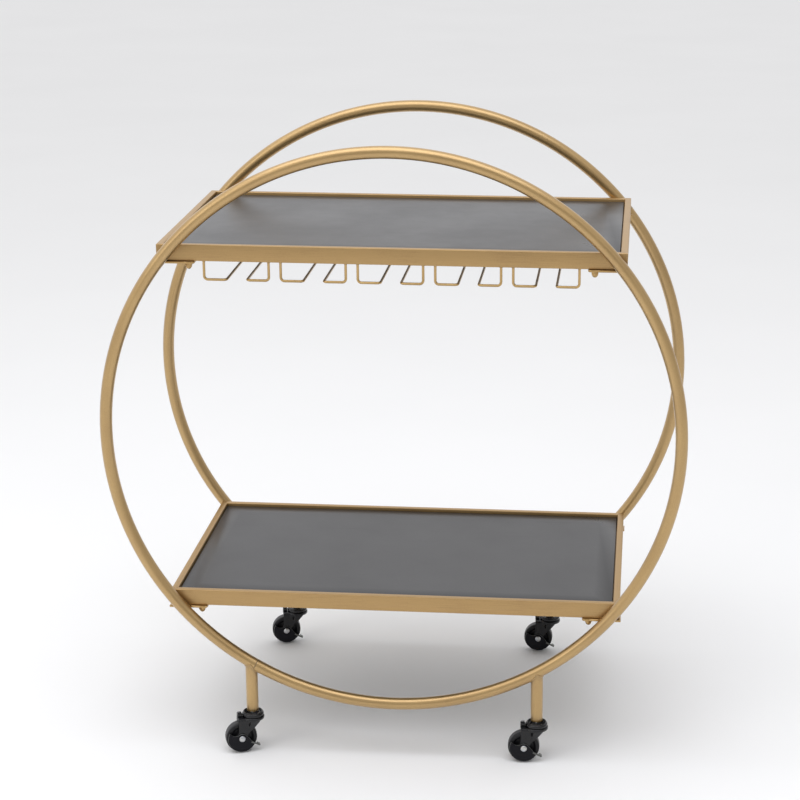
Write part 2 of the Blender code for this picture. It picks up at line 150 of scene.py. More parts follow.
bpy.context.scene.view_settings.view_transform = "Standard"

for name, where, size, power, tint in (
    ("overhead_softbox", (-0.2, -0.9, 3.1), (3.6, 2.0), 46, "#F6F8FF"),
    ("left_softbox", (-3.0, -2.8, 2.3), (1.6, 2.2), 20, "#FFFBF4"),
    ("right_softbox", (3.0, -2.6, 2.0), (1.4, 2.0), 4, "#FAFBFF"),
):
    lamp = bpy.data.lights.new(name, "AREA")
    lamp.shape = "RECTANGLE"
    lamp.size, lamp.size_y = size
    lamp.energy = power
    lamp.color = linear(tint)[:3]
    stand = bpy.data.objects.new(name, lamp)
    bpy.context.scene.collection.objects.link(stand)
    stand.location = where
    stand.rotation_euler = (ring_middle - Vector(where)).to_track_quat("-Z", "Y").to_euler()

# ---------------------------------------------------------------------------
# Rings: 19 mm mild-steel tube rolled to a 900 mm circle and butt-welded once,
# the seam ground nearly flush, then powder-coated in satin champagne gold.
# ---------------------------------------------------------------------------


def powder_coat(name, low, high, roughness, streak, varnish):
    """Metallic powder coat: soft metal sheen, fine flake, slight orange peel, streaks along the piece."""
    material, tree, shader = new_material(name)
    # UV holds millimetres: U along the piece, V round it.
    along = node(tree, "ShaderNodeUVMap", uv_map="along_mm")
    stretched = node(tree, "ShaderNodeMapping", {"Vector": along.outputs["UV"], "Scale": (0.02, 0.9, 1)})
    streaks = node(
        tree, "ShaderNodeTexNoise", {"Vector": stretched.outputs["Vector"], "Scale": 1, "Detail": 4}
    )
    spot = node(tree, "ShaderNodeTexCoord")
    # Object coordinates are metres, so a scale of 1000 is one cell a millimetre.
    clouds = node(tree, "ShaderNodeTexNoise", {"Vector": spot.outputs["Object"], "Scale": 14, "Detail": 2})
    flake = node(tree, "ShaderNodeTexVoronoi", {"Vector": spot.outputs["Object"], "Scale": 1100})
    peel = node(tree, "ShaderNodeTexNoise", {"Vector": spot.outputs["Object"], "Scale": 620, "Detail": 2})
    tone = node(tree, "ShaderNodeMath", {0: streaks.outputs["Fac"], 1: streak}, operation="MULTIPLY")
    tone = node(
        tree,
        "ShaderNodeMath",
        {0: clouds.outputs["Fac"], 1: 0.5, 2: tone.outputs[0]},
        operation="MULTIPLY_ADD",
    )
    sparkle = node(tree, "ShaderNodeSeparateColor", {"Color": flake.outputs["Color"]})
    tone = node(
        tree,
        "ShaderNodeMath",
        {0: sparkle.outputs[0], 1: 0.16, 2: tone.outputs[0]},
        operation="MULTIPLY_ADD",
    )
    colour = node(tree, "ShaderNodeValToRGB", {"Fac": tone.outputs[0]})
    colour.color_ramp.elements[0].position = 0.18
    colour.color_ramp.elements[0].color = linear(low)
    colour.color_ramp.elements[1].position = 0.72
    colour.color_ramp.elements[1].color = linear(high)
    # Weld scale under the coat leaves a browner, duller line at each seam.
    heat = node(tree, "ShaderNodeAttribute", attribute_name="weld")
    burnt = node(
        tree,
        "ShaderNodeMix",
        {"Factor": heat.outputs["Fac"], 6: colour.outputs["Color"], 7: linear("#5E4A2C")},
        data_type="RGBA",
    )
    tree.links.new(burnt.outputs[2], shader.inputs["Base Color"])
    dull = node(
        tree,
        "ShaderNodeMapRange",
        {"Value": clouds.outputs["Fac"], "To Min": roughness - 0.04, "To Max": roughness + 0.05},
    )
    tree.links.new(dull.outputs[0], shader.inputs["Roughness"])
    lumps = node(
        tree, "ShaderNodeBump", {"Height": peel.outputs["Fac"], "Strength": 0.10, "Distance": 0.0002}
    )
    lines = node(
        tree,
        "ShaderNodeBump",
        {
            "Height": streaks.outputs["Fac"], "Normal": lumps.outputs["Normal"], "Strength": 0.3 * streak,
            "Distance": 0.0002,
        },
    )
    tree.links.new(lines.outputs["Normal"], shader.inputs["Normal"])
    shader.inputs["Metallic"].default_value = 0.86
    shader.inputs["Coat Weight"].default_value = varnish
    shader.inputs["Coat IOR"].default_value = 1.7
    shader.inputs["Coat Roughness"].default_value = 0.3
    return material


def skin(bm, loops, around=True, along=False, weld=None):
    """Faces through equal loops of points, with millimetres in the UV map and a value for each loop in the
    weld attribute: a weld mark, or on the brake levers a painted highlight along the edge.
    """
    uv = bm.loops.layers.uv.get("along_mm") or bm.loops.layers.uv.new("along_mm")
    marks_and_highlights = bm.verts.layers.float.get("weld") or bm.verts.layers.float.new("weld")
    count = len(loops[0])
    rows = []
    for number, loop in enumerate(loops):
        row = [bm.verts.new(point) for point in loop]
        for vert in row:
            vert[marks_and_highlights] = weld[number] if weld else 0.0
        rows.append(row)
    middles = [sum((Vector(point) for point in loop), Vector()) / count for loop in loops]
    runs = [0.0]
    for before, after in zip(middles, middles[1:] + middles[:1]):
        runs.append(runs[-1] + (after - before).length * 1000)
    girth = [0.0]
    for i in range(count):
        girth.append(girth[-1] + (Vector(loops[0][(i + 1) % count]) - Vector(loops[0][i])).length * 1000)
    for number in range(len(rows) if along else len(rows) - 1):
        low, high = rows[number], rows[(number + 1) % len(rows)]
        for i in range(count if around else count - 1):
            j = (i + 1) % count
            face = bm.faces.new((low[i], low[j], high[j], high[i]))
            corners = ((number, i), (number, i + 1), (number + 1, i + 1), (number + 1, i))
            for corner, (run, turn) in zip(face.loops, corners):
                corner[uv].uv = (runs[run], girth[turn])
    if not along and around:
        for row in (rows[0], rows[-1]):
            face = bm.faces.new(row)
            for corner in face.loops:
                corner[uv].uv = (corner.vert.co.x * 1000, (corner.vert.co.y + corner.vert.co.z) * 1000)
    return rows


def finished(name, bm, material, body, stands_for=(), sharp=38):
    """Turns a bmesh into a smooth-shaded piece that rides its body and stands for its CAD nodes."""
    bmesh.ops.recalc_face_normals(bm, faces=bm.faces)
    mesh = bpy.data.meshes.new(name)
    bm.to_mesh(mesh)
    bm.free()
    mesh.materials.append(material)
    mesh.shade_smooth()
    mesh.set_sharp_from_angle(angle=math.radians(sharp))
    obj = bpy.data.objects.new(name, mesh)
    bpy.context.scene.collection.objects.link(obj)
    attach(obj, body)
    if stands_for:
        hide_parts(*stands_for)
    return obj


tube_gold = powder_coat(
    "satin champagne-gold powder coat on rolled tube", "#A6844E", "#BF9E64", 0.38, 0.3, 0.8
)
tube_radius = (ring_high.y - ring_low.y) / 2
hoop_radius = (ring_high.x - ring_low.x) / 2 - tube_radius
seam_width = 0.0009
seam_pitch = 0.0011
ring_steps = 240
ring_sides = 32


def hoop(bm, middle, seam_angle):
    """A rolled tube with a ground weld seam: a low swelling with a fine groove in its middle."""
    around = {math.tau * i / ring_steps for i in range(ring_steps)}
    steps = sorted(around | {seam_angle + d * seam_pitch for d in range(-4, 5)})
    turns = [math.tau * i / ring_sides for i in range(ring_sides)]
    loops, weld = [], []
    for turn in steps:
        off = (turn - seam_angle) * hoop_radius / seam_width
        bead = 0.00022 * math.exp(-(off / 3) ** 2) - 0.0004 * math.exp(-(off**2))
        weld.append(0.75 * math.exp(-(off**2)))
        out = Vector((math.cos(turn), 0, math.sin(turn)))
        sideways = Vector((0, tube_radius + bead, 0))
        loops.append([
            middle + out * (hoop_radius + (tube_radius + bead) * math.cos(a)) + sideways * math.sin(a)
            for a in turns
        ])
    skin(bm, loops, along=True, weld=weld)


for ring_name, seam in (("front_ring", 240.1), ("back_ring", 38.0)):
    low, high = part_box(ring_name)
    bm = bmesh.new()
    hoop(bm, (low + high) / 2, math.radians(seam))
    finished(f"{ring_name}_tube", bm, tube_gold, "frame", [ring_name])

# ---------------------------------------------------------------------------
# Legs: short lengths of the same tube, coped to the underside of a ring and
# held by a fillet weld run all the way round the joint, coated with the ring.
# ---------------------------------------------------------------------------

leg_steps = 48
stem_bore = 0.0062
bore_depth = 0.012
edge_break = 0.0008
weld_bite = 0.0012
bead_radius = 0.0013


def cope(leg_x, x, y):
    """Height of the ring's underside over a point of the leg."""
    reach = hoop_radius + math.sqrt(max(tube_radius**2 - y**2, 0))
    return ring_middle.z - math.sqrt(reach**2 - (leg_x + x) ** 2)


for side in ("front", "rear"):
    for end in ("left", "right"):
        leg = f"{side}_{end}_leg"
        low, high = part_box(leg)
        axis = (low + high) / 2
        radius = (high.x - low.x) / 2
        bm = bmesh.new()
        turns = [math.tau * i / leg_steps for i in range(leg_steps)]
        ring_of = [(radius * math.cos(a), radius * math.sin(a)) for a in turns]
        bore = stem_bore / radius
        foot = ((bore_depth, bore), (0.0004, bore), (0, 0.90), (0.0003, 0.97), (edge_break, 1.0))
        loops = []
        for rise, share in foot:
            loops.append([(axis.x + x * share, axis.y + y * share, low.z + rise) for x, y in ring_of])
        start = low.z + edge_break
        for share in (0.3, 0.6, 0.85, 1.0):
            loop = []
            for x, y in ring_of:
                stop = cope(axis.x, x, y) + weld_bite
                loop.append((axis.x + x, axis.y + y, start + (stop - start) * share))
            loops.append(loop)
        skin(bm, loops, weld=[0, 0, 0, 0, 0, 0, 0, 0.05, 0.35])
        # The fillet weld is a thin rippled bead that follows the coped edge.
        coped_edge = [Vector((axis.x + x, axis.y + y, cope(axis.x, x, y))) for x, y in ring_of]
        bead_turns = [math.tau * k / 8 for k in range(8)]
        beads = []
        for i, point in enumerate(coped_edge):
            ahead = (coped_edge[(i + 1) % leg_steps] - coped_edge[i - 1]).normalized()
            out = Vector((math.cos(turns[i]), math.sin(turns[i]), 0))
            out = (out - ahead * out.dot(ahead)).normalized()
            up = ahead.cross(out)
            thick = bead_radius * (1 + 0.16 * math.sin(turns[i] * 22))
            beads.append([point + out * thick * math.cos(a) + up * thick * math.sin(a) for a in bead_turns])
        skin(bm, beads, along=True, weld=[0.12] * leg_steps)
        finished(f"{leg}_tube", bm, tube_gold, "frame", [leg], sharp=50)

# ---------------------------------------------------------------------------
# Shelf frames: 10 by 25 mm steel box section, mitred and welded at the corners
# with a thin strip inside for the board, coated satin gold with faint streaks.
# ---------------------------------------------------------------------------

rail_gold = powder_coat(
    "satin champagne-gold powder coat on box section", "#977750", "#B49463", 0.42, 0.75, 0.15
)
corner_radius = 0.0011
rail_width = 0.010
ledge_width, ledge_thick = 0.010, 0.0015
ledge_edge = rail_width + ledge_width
mitre_gap = 0.00028


def eased(inset, drop, start):
    """A quarter round of the section's edge, turning clockwise from start degrees."""
    turns = [math.radians(start - turn) for turn in (0, 22, 45, 68, 90)]
    return [(inset + corner_radius * math.cos(a), drop + corner_radius * math.sin(a)) for a in turns]


for level_name in ("upper", "lower"):
    low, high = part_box(f"{level_name}_shelf_frame")
    height = high.z - low.z
    ledge = high.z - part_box(f"{level_name}_shelf_board")[0].z + 0.0003
    ledge_foot = ledge + ledge_thick
    # The section is (inset from the rail's outer face, height under its top).
    section = eased(corner_radius, -corner_radius, 180)
    section += eased(rail_width - corner_radius, -corner_radius, 90)
    section += [(rail_width, -ledge), (ledge_edge, -ledge)]
    section += [(ledge_edge, -ledge_foot), (rail_width, -ledge_foot)]
    section += eased(rail_width - corner_radius, corner_radius - height, 0)
    section += eased(corner_radius, corner_radius - height, -90)
    half = Vector((high.x, high.y, 0))
    corners = [Vector((-1, -1, 0)), Vector((1, -1, 0)), Vector((1, 1, 0)), Vector((-1, 1, 0))]
    middle = Vector(((low.x + high.x) / 2, (low.y + high.y) / 2, 0))
    bm = bmesh.new()
    loops, weld = [], []
    for number, corner in enumerate(corners):
        before = (corners[number - 1] - corner) * 0.5
        after = (corners[(number + 1) % 4] - corner) * 0.5
        shifts = (before * 0.0012, before * 0.0004, Vector(), after * 0.0004, after * 0.0012)
        for shift, sink in zip(shifts, (0, 0, mitre_gap, 0, 0)):
            loop = []
            for inset, drop in section:
                depth = sink if drop > corner_radius - height and inset < rail_width else sink * 0.5
                across = inset + depth if inset < rail_width / 2 else inset - depth
                fall = drop - (depth if drop > -height / 2 else -depth)
                place = Vector((corner.x * (half.x - across), corner.y * (half.y - across), high.z + fall))
                loop.append(middle + place + shift)
            loops.append(loop)
            weld.append(0.55 if sink else 0)
    skin(bm, loops, along=True, weld=weld)
    finished(
        f"{level_name}_shelf_rails", bm, rail_gold, "frame",
        [f"{level_name}_shelf_frame"],
    )

# ---------------------------------------------------------------------------
# Boards: 9 mm MDF faced and edged with charcoal melamine, pressed with a fine
# pebble, dropped in on the frame's ledge with a thin dark gap all round.
# ---------------------------------------------------------------------------

board_black, tree, shader = new_material("charcoal satin melamine on board")
# The facing is smooth to the touch: it blurs what stands on it and shows hand smears and a few hairlines.
spot = node(tree, "ShaderNodeTexCoord")
smear = node(
    tree,
    "ShaderNodeTexNoise",
    {"Vector": spot.outputs["Object"], "Scale": 7, "Detail": 4, "Roughness": 0.62},
)
pebble = node(tree, "ShaderNodeTexNoise", {"Vector": spot.outputs["Object"], "Scale": 900, "Detail": 2})
speck = node(tree, "ShaderNodeTexNoise", {"Vector": spot.outputs["Object"], "Scale": 260, "Detail": 3})
swept = node(
    tree,
    "ShaderNodeMapping",
    {"Vector": spot.outputs["Object"], "Scale": (6, 420, 6), "Rotation": (0, 0, 0.3)},
)
hairline = node(tree, "ShaderNodeTexNoise", {"Vector": swept.outputs["Vector"], "Scale": 1, "Detail": 2})
tone = node(tree, "ShaderNodeMath", {0: speck.outputs["Fac"], 1: 0.35, 2: 0.3}, operation="MULTIPLY_ADD")
tone = node(
    tree, "ShaderNodeMath", {0: smear.outputs["Fac"], 1: 0.4, 2: tone.outputs[0]}, operation="MULTIPLY_ADD"
)
colour = node(tree, "ShaderNodeValToRGB", {"Fac": tone.outputs[0]})
colour.color_ramp.elements[0].position = 0.3
colour.color_ramp.elements[0].color = linear("#232324")
colour.color_ramp.elements[1].position = 0.95
colour.color_ramp.elements[1].color = linear("#39393A")
tree.links.new(colour.outputs["Color"], shader.inputs["Base Color"])
sheen = node(
    tree,
    "ShaderNodeMapRange",
    {"Value": smear.outputs["Fac"], "From Min": 0.3, "From Max": 0.7, "To Min": 0.27, "To Max": 0.36},
)
lines = node(
    tree,
    "ShaderNodeMapRange",
    {"Value": hairline.outputs["Fac"], "From Min": 0.68, "From Max": 0.78, "To Min": 0.0, "To Max": 0.08},
)
rough = node(tree, "ShaderNodeMath", {0: sheen.outputs[0], 1: lines.outputs[0]}, operation="ADD")
tree.links.new(rough.outputs[0], shader.inputs["Roughness"])
dimple = node(
    tree, "ShaderNodeBump", {"Height": pebble.outputs["Fac"], "Strength": 0.1, "Distance": 0.0003}
)
tree.links.new(dimple.outputs["Normal"], shader.inputs["Normal"])
shader.inputs["IOR"].default_value = 1.5

edge_radius = 0.0008
joint_gap = Vector((0.0007, 0.0007, 0))
for level_name in ("upper", "lower"):
    low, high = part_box(f"{level_name}_shelf_board")
    low, high = low + joint_gap, high - joint_gap
    bm = bmesh.new()
    loops = []
    bend = edge_radius * 0.3
    sides = ((0.0004, low.z), (0, low.z + 0.0004), (0, high.z - edge_radius), (bend, high.z - bend))
    for inset, z in (*sides, (edge_radius, high.z), (0.030, high.z), (0.120, high.z)):
        left, right_edge = low.x + inset, high.x - inset
        near, far = low.y + inset, high.y - inset
        loops.append([(left, near, z), (right_edge, near, z), (right_edge, far, z), (left, far, z)])
    skin(bm, loops)
    finished(
        f"{level_name}_melamine_board",
        bm,
        board_black,
        "frame",
        [f"{level_name}_shelf_board"],
        sharp=60,
    )

# ---------------------------------------------------------------------------
# Corner tabs: steel plate, round-cornered at the inner end, welded to the back of
# a ring's tube under the rail; a weld stud and a domed nut clamp the frame.
# ---------------------------------------------------------------------------

plate_gold = powder_coat(
    "satin champagne-gold powder coat on plate and nuts", "#A68248", "#C09E62", 0.36, 0.2, 0.6
)
chamfer = 0.0005
corner_round = 0.0045
weld_sink = 0.0001
nut_flats = 0.010
nut_body = 0.0047
nut_corner = 0.0060
dome_radius = 0.0047
stud_radius = 0.0029


def turned(bm, profile, steps, base, axis=Vector((0, 0, 1)), flats=0.0, open_bore=False):
    """A turned piece from (radius, height) points; flats mills a hexagon where the profile is wider."""
    side = Vector((1, 0, 0)) if abs(axis.z) > 0.5 else Vector((0, 0, 1)).cross(axis).normalized()
    other = axis.cross(side)
    loops = []
    for radius, rise in profile:
        loop = []
        for i in range(steps):
            turn = math.tau * i / steps
            reach = radius
            if flats:
                off = (turn + math.pi / 6) % (math.pi / 3) - math.pi / 6
                reach = min(radius, flats / 2 / math.cos(off))
            loop.append(base + axis * rise + (side * math.cos(turn) + other * math.sin(turn)) * reach)
        loops.append(loop)
    return skin(bm, loops, along=open_bore)


for level_name in ("upper", "lower"):
    for side_name, side in (("front", -1), ("rear", 1)):
        for end_name, end in (("left", -1), ("right", 1)):
            corner = f"{level_name}_{side_name}_{end_name}"
            low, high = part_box(f"{corner}_tab")
            nut_low, nut_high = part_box(f"{corner}_cap_nut")
            stud = (nut_low + nut_high) / 2
            outer = high.x if end > 0 else low.x
            nose = (high.y - low.y) / 2
            # The outer edge is coped round the tube, so it is worked out from the tube at the plate's height.
            outline = []
            for i in range(49):
                x = stud.x + (outer - stud.x) * i / 48
                reach = -nose
                for z in (low.z, high.z):
                    off = math.hypot(x - ring_middle.x, z - ring_middle.z) - hoop_radius
                    if abs(off) < tube_radius:
                        tube_back = abs(ring_middle.y) - math.sqrt(tube_radius**2 - off**2)
                        reach = max(reach, abs(stud.y) - tube_back - weld_sink)
                outline.append((x, stud.y - side * reach))
            outline.append((outer, stud.y - side * nose))
            for swing, half in ((range(90, 181, 15), 1), (range(180, 271, 15), -1)):
                for a in map(math.radians, swing):
                    inwards = corner_round - nose + corner_round * math.cos(a)
                    across = half * (nose - corner_round) + corner_round * math.sin(a)
                    outline.append((stud.x + end * inwards, stud.y - side * across))
            core = Vector((stud.x + end * 0.012, stud.y - side * 0.004, 0))
            bm = bmesh.new()
            loops = []
            for inset, z in (
                (chamfer, low.z), (0, low.z + chamfer), (0, high.z - chamfer), (chamfer, high.z)
            ):
                loop = []
                for x, y in outline:
                    away = Vector((x, y, 0)) - core
                    point = core + away * (1 - inset / max(away.length, 0.004))
                    loop.append((point.x, point.y, z))
                loops.append(loop)
            skin(bm, loops)
            finished(f"{corner}_tab_plate", bm, plate_gold, "frame", [f"{corner}_tab"])

            # The stud shows only in the gap; the nut has a chamfered hexagon and a pressed dome.
            bm = bmesh.new()
            seat = low.z - 0.0003
            crown = seat - nut_body
            profile = [
                (stud_radius, nut_high.z), (stud_radius, seat), (0.0049, seat), (0.0054, seat - 0.0003)
            ]
            profile += [(nut_corner, seat - 0.0006), (nut_corner, crown + 0.0007), (0.0053, crown + 0.0002)]
            dome = crown - nut_low.z
            for a in map(math.radians, (0, 12, 26, 40, 54, 68, 80, 87)):
                profile.append((dome_radius * math.cos(a), crown - dome * math.sin(a)))
            turned(bm, profile, 48, Vector((stud.x, stud.y, 0)), flats=nut_flats)
            finished(
                f"{corner}_domed_nut", bm, plate_gold, "frame", [f"{corner}_cap_nut"]
            )

# ---------------------------------------------------------------------------
# Stemware rack: ten lengths of 4 mm steel wire bent to hang under the upper
# shelf in five pairs, each end butt-welded to the underside of a rail.
# ---------------------------------------------------------------------------

wire_gold = powder_coat(
    "satin champagne-gold powder coat on drawn wire", "#AA8850", "#C6A468", 0.36, 0.3, 0.6
)
wire_radius = 0.0020
wire_bend = 0.0055
skirt = [Vector((0, 0, drop)) for drop in (0, 0.0006, 0.0016)]
for number in range(1, 6):
    for hand, out in (("left", -1), ("right", 1)):
        wire = f"rack_wire_{number}_{hand}"
        low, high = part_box(wire)
        outer_x, inner_x = low.x + wire_radius, high.x - wire_radius
        if out > 0:
            outer_x, inner_x = inner_x, outer_x
        front, rear = low.y + wire_radius, high.y - wire_radius
        run = low.z + wire_radius
        knots = [Vector(p) for p in (
            (outer_x, front, high.z), (outer_x, front, run), (inner_x, front, run),
            (inner_x, rear, run), (outer_x, rear, run), (outer_x, rear, high.z))]
        path = [knots[0] - drop for drop in skirt]
        for before, knot, after in zip(knots, knots[1:], knots[2:]):
            into, away = (before - knot).normalized(), (after - knot).normalized()
            centre = knot + (into + away) * wire_bend
            for i in range(9):
                a = math.pi / 2 * i / 8
                path.append(centre - away * wire_bend * math.cos(a) - into * wire_bend * math.sin(a))
        path += [knots[-1] - drop for drop in reversed(skirt)]
        last = len(path) - 1
        lean = Vector((0, 1, 0))
        turns = [math.tau * k / 14 for k in range(14)]
        loops, weld = [], []
        for i, point in enumerate(path):
            ahead = (path[min(i + 1, last)] - path[max(i - 1, 0)]).normalized()
            lean = (lean - ahead * lean.dot(ahead)).normalized()
            cross = ahead.cross(lean)
            # The weld leaves a small skirt where the wire meets the rail.
            flare = {0: 1.45, 1: 1.28}.get(min(i, last - i), 1.0)
            weld.append(0.3 if flare > 1 else 0.0)
            girth = wire_radius * flare
            loops.append([point + (lean * math.cos(a) + cross * math.sin(a)) * girth for a in turns])
        bm = bmesh.new()
        skin(bm, loops, weld=weld)
        finished(f"{wire}_rod", bm, wire_gold, "frame", [wire], sharp=50)

# ---------------------------------------------------------------------------
# Caster stems: steel, turned and bright zinc-plated, with a hexagon that seats
# under the leg, a shank up its bore and a riveted head inside the fork.
# ---------------------------------------------------------------------------

bright_zinc, tree, shader = new_material("bright zinc plate on turned steel")
# The plate is shiny with a faint blue and yellow passivation and fine turning marks.
spot = node(tree, "ShaderNodeTexCoord")
film = node(tree, "ShaderNodeTexNoise", {"Vector": spot.outputs["Object"], "Scale": 160, "Detail": 2})
colour = node(tree, "ShaderNodeValToRGB", {"Fac": film.outputs["Fac"]})
colour.color_ramp.elements[0].position = 0.35
colour.color_ramp.elements[0].color = linear("#B9BCC2")
colour.color_ramp.elements[1].position = 0.7
colour.color_ramp.elements[1].color = linear("#CFCDC6")
tree.links.new(colour.outputs["Color"], shader.inputs["Base Color"])
pits = node(tree, "ShaderNodeTexNoise", {"Vector": spot.outputs["Object"], "Scale": 1500, "Detail": 2})
dull = node(tree, "ShaderNodeMapRange", {"Value": pits.outputs["Fac"], "To Min": 0.24, "To Max": 0.32})
tree.links.new(dull.outputs[0], shader.inputs["Roughness"])
marks = node(tree, "ShaderNodeBump", {"Height": pits.outputs["Fac"], "Strength": 0.15, "Distance": 0.0002})
tree.links.new(marks.outputs["Normal"], shader.inputs["Normal"])
shader.inputs["Metallic"].default_value = 1.0

casters = [f"{side}_{end}" for side in ("front", "rear") for end in ("left", "right")]
shank = 0.0039
collar_height = 0.0062
collar_radius = 0.0076
collar_flats = 0.013
head_radius, head_height = 0.0067, 0.0017
for caster in casters:
    low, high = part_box(f"{caster}_caster_stem")
    pivot = joints[f"{caster}_swivel_turn"]["pos_m"]
    base = Vector((pivot[0], pivot[1], 0))
    leg_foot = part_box(f"{caster}_leg")[0].z
    collar_top = leg_foot - 0.0003
    collar_foot = collar_top - collar_height
    head_top = low.z + head_height
    profile = [
        (0.0052, low.z), (0.0063, low.z + 0.0004), (head_radius, low.z + 0.0011), (head_radius, head_top)
    ]
    profile += [
        (shank, head_top), (shank, collar_foot), (0.0064, collar_foot), (0.0072, collar_foot + 0.0004)
    ]
    profile += [(collar_radius, collar_foot + 0.0007), (collar_radius, collar_top - 0.0007)]
    profile += [(0.0070, collar_top - 0.0002), (0.0063, collar_top), (shank, collar_top)]
    profile += [(shank, high.z - 0.001), (shank - 0.001, high.z)]
    bm = bmesh.new()
    turned(bm, profile, 48, base, flats=collar_flats)
    finished(f"{caster}_hex_stem", bm, bright_zinc, "frame", [f"{caster}_caster_stem"])

# ---------------------------------------------------------------------------
# Bearing caps: pressed steel cups that cover the swivel's ball race, with a
# rolled rim, finished in hard gloss black lacquer like the forks.
# ---------------------------------------------------------------------------

black_lacquer, tree, shader = new_material("gloss black lacquer on pressed steel")
# The lacquer is deep and wet-looking, slightly wavy from the pressing under it, with fine dust nibs.
spot = node(tree, "ShaderNodeTexCoord")
wave = node(tree, "ShaderNodeTexNoise", {"Vector": spot.outputs["Object"], "Scale": 130, "Detail": 2})
nibs = node(tree, "ShaderNodeTexNoise", {"Vector": spot.outputs["Object"], "Scale": 1300, "Detail": 2})
colour = node(tree, "ShaderNodeValToRGB", {"Fac": wave.outputs["Fac"]})
colour.color_ramp.elements[0].color = linear("#08080A")
colour.color_ramp.elements[1].color = linear("#111114")
tree.links.new(colour.outputs["Color"], shader.inputs["Base Color"])
dull = node(tree, "ShaderNodeMapRange", {"Value": nibs.outputs["Fac"], "To Min": 0.14, "To Max": 0.26})
tree.links.new(dull.outputs[0], shader.inputs["Roughness"])
swell = node(tree, "ShaderNodeBump", {"Height": wave.outputs["Fac"], "Strength": 0.25, "Distance": 0.0006})
tree.links.new(swell.outputs["Normal"], shader.inputs["Normal"])
shader.inputs["Specular IOR Level"].default_value = 0.3
shader.inputs["Coat Weight"].default_value = 0.3
shader.inputs["Coat Roughness"].default_value = 0.06

stem_hole = 0.0043
rim_round = 0.0011
bowl_drop = 0.0068
for caster in casters:
    low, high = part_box(f"{caster}_bearing_cap")
    pivot = joints[f"{caster}_swivel_turn"]["pos_m"]
    radius = (high.x - low.x) / 2
    rim = radius - 0.0026
    bowl_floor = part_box(f"{caster}_leg")[0].z - bowl_drop
    # The flange bulges round the balls; each pair is (distance in from its edge, height over its foot).
    bulge = ((0.0016, 0), (0.0006, 0.0004), (0.0001, 0.0012), (0, 0.0024))
    bulge += ((0.0001, 0.0036), (0.0005, 0.0046), (0.0011, 0.0051))
    profile = [(stem_hole, low.z)]
    profile += [(radius - inwards, low.z + rise) for inwards, rise in bulge]
    profile.append((rim + rim_round, high.z - 0.0014))
    for a in map(math.radians, (20, 45, 70, 95, 125, 155, 185)):
        profile.append((rim + rim_round * math.cos(a), high.z - rim_round + rim_round * math.sin(a)))
    profile += [(rim - 0.0016, high.z - 0.0026), (0.0122, bowl_floor + 0.0007), (0.0110, bowl_floor)]
    profile.append((stem_hole, bowl_floor))
    bm = bmesh.new()
    turned(bm, profile, 72, Vector((pivot[0], pivot[1], 0)), open_bore=True)
    finished(
        f"{caster}_rolled_cap",
        bm,
        black_lacquer,
        "frame",
        [f"{caster}_bearing_cap"],
        sharp=45,
    )

# ---------------------------------------------------------------------------
# Forks: steel pressings, each a round crown drawn down into two legs that
# straddle the wheel, creased for stiffness, with a lug turned up at the back.
# ---------------------------------------------------------------------------

fork_outer = 0.0114
sheet_thick = 0.0018
crown_bottom, crown_top = 0.0543, 0.0592
crown_radius = 0.0182
fork_back, lug_front, lug_back = 0.0247, 0.0180, 0.0255
belly_start = 0.0375
crease_line, crease_depth = -0.0078, 0.0030
trail = 0.020
axle_z = joints["front_left_wheel_roll"]["pos_m"][2]


def swivel_frame(caster):
    """The caster's own axes: origin on the floor under the swivel, -X towards the wheel."""
    pivot = joints[f"{caster}_swivel_turn"]["pos_m"]
    spin = joints[f"{caster}_wheel_roll"]["axis"]
    turn = math.atan2(-spin[0], spin[1])
    return Matrix.Translation((pivot[0], pivot[1], 0)) @ Matrix.Rotation(turn, 4, "Z")


def between(knots, value):
    """Straight-line reading of a table of (value, result) pairs."""
    for (v0, r0), (v1, r1) in zip(knots, knots[1:]):
        if value <= v1:
            return r0 + (r1 - r0) * max(0.0, (value - v0) / (v1 - v0))
    return knots[-1][1]


# Each edge of the leg is (height, x): round under the axle, then the front sweeps forward to the crown
# and the rear stands upright.
front_edge = ((0.0165, -trail), (0.0168, -0.0178), (0.0182, -0.0150), (0.0215, -0.0124), (0.025, -0.0115))
front_edge += ((0.030, -0.0105), (0.0335, -0.0080), (belly_start, -0.0035), (0.0425, 0.0010))
front_edge += ((0.0480, 0.0050), (0.0535, 0.0095), (0.0560, 0.0115))
rear_edge = ((0.0165, -trail), (0.0168, -0.0222), (0.0182, -0.0250), (0.0215, -0.0276), (0.025, -0.0285))
rear_edge += ((0.030, -0.0272), (0.0345, -fork_back), (0.0560, -fork_back))


def fork_leg(bm, world, side):
    """One leg: flat round the axle, bellied out above to meet the crown, creased between two facets."""
    heights = [0.0165, 0.0167, 0.0172, 0.0182, 0.0198, 0.0215, 0.0232, 0.025, 0.0275, 0.030]
    heights += [0.0322 + 0.0017 * i for i in range(15)]
    columns = 34
    loops = []
    for z in heights:
        start, stop = between(rear_edge, z), between(front_edge, z)
        rise = min(1.0, max(0.0, (z - belly_start) / (crown_bottom - belly_start)))
        outer, inner = [], []
        for k in range(columns + 1):
            x = start + (stop - start) * k / columns
            crown_edge = math.sqrt(max((crown_radius - 0.0009) ** 2 - x**2, 0))
            belly = max(0.0, crown_edge - fork_outer) * rise**1.4
            # The crease opens towards the crown and dies out above the wheel's hub.
            width = 0.0009 + 0.0011 * rise
            crease = crease_depth * min(1.0, rise * 1.6) * math.exp(-(((x - crease_line) / width) ** 2))
            depth = fork_outer + belly - crease
            # The cut edges of the sheet are eased.
            ease = 0.0004 if k in (0, columns) or z == heights[0] else 0.0
            outer.append(world @ Vector((x, side * (depth - ease), z)))
            inner.append(world @ Vector((x, side * (depth - sheet_thick + ease), z)))
        loops.append([*outer, *reversed(inner)])
    skin(bm, loops)


